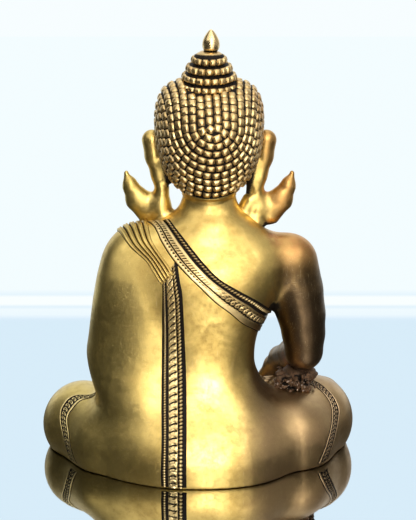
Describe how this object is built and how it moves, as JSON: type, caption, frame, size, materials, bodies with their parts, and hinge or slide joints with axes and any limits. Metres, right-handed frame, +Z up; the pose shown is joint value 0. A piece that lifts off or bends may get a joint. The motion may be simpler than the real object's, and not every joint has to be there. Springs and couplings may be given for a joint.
{
  "type": "seated buddha statue",
  "caption": "Seated cross-legged devotional figure in cast brass: one hand touches the earth, the other holds an alms bowl; beaded hair, draped robe, flat underside",
  "frame": {"origin": "centre of the bounding box's underside, on the surface the statue stands on", "axes": "+Z up, +Y out of the figure's back, so the figure faces -Y, and +X towards the figure's left hand"},
  "size_m": [0.1672, 0.1139, 0.2258],
  "materials": {
    "body_casting": "brushed antique brass with dark patina in the grooves",
    "base_plate": "plain rolled brass sheet",
    "head_casting": "antique brass, hair blackened between the curls",
    "ushnisha": "antique brass, blackened between the beads",
    "finial": "polished brass with a coppery braze at its foot",
    "left_ear": "polished antique brass",
    "right_ear": "polished antique brass",
    "left_ear_pendant": "polished antique brass with coppery braze marks",
    "right_ear_pendant": "polished antique brass with coppery braze marks",
    "right_arm": "brushed antique brass, darkened",
    "left_forearm": "brushed antique brass",
    "alms_bowl": "dark antique brass"
  },
  "bodies": {
    "root": {"body_casting": "body_casting", "base_plate": "base_plate", "head_casting": "head_casting", "ushnisha": "ushnisha", "finial": "finial", "left_ear": "left_ear", "right_ear": "right_ear", "left_ear_pendant": "left_ear_pendant", "right_ear_pendant": "right_ear_pendant", "right_arm": "right_arm", "left_forearm": "left_forearm", "alms_bowl": "alms_bowl"}
  },
  "joints": []
}
